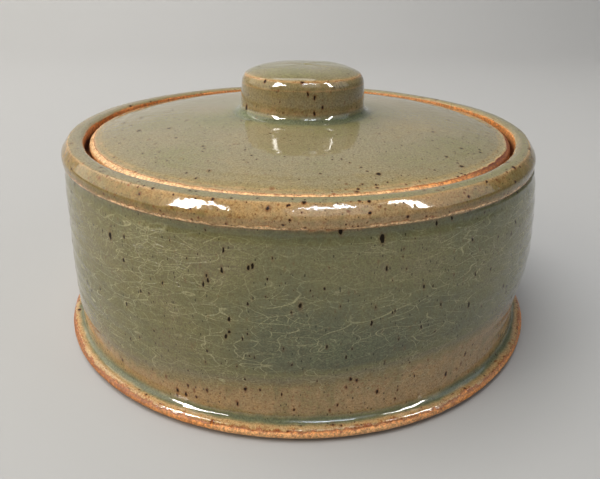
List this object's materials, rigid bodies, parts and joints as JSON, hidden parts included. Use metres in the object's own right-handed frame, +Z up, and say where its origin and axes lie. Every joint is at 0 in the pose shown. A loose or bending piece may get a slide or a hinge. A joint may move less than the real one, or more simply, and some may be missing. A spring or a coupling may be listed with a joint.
{
  "type": "butter crock",
  "caption": "Low round glazed stoneware crock with a projecting foot flange and rolled rim, closed by a lift-off domed lid with a drum knob that sits in a gallery; keeps butter.",
  "frame": {"origin": "middle of the foot ring, on the surface the crock stands on", "axes": "+Z up along the axis of the crock, -Y towards the front, +X to the right seen from the front"},
  "size_m": [0.1652, 0.1652, 0.0849],
  "materials": {
    "celadon_glaze": "glossy grey-green celadon glaze, finely crackled and iron specked, breaking tan on edges",
    "bare_stoneware": "unglazed toasted orange stoneware, matt and slightly grainy"
  },
  "bodies": {
    "crock": {"crock_wall": "celadon_glaze", "crock_base": "bare_stoneware"},
    "lid": {"lid_disc": "celadon_glaze", "lid_knob": "celadon_glaze"}
  },
  "joints": [
    {"name": "lid_lift", "type": "slide", "parent": "crock", "child": "lid", "axis": [0, 0, 1], "range_m": [0, 0.08]}
  ]
}
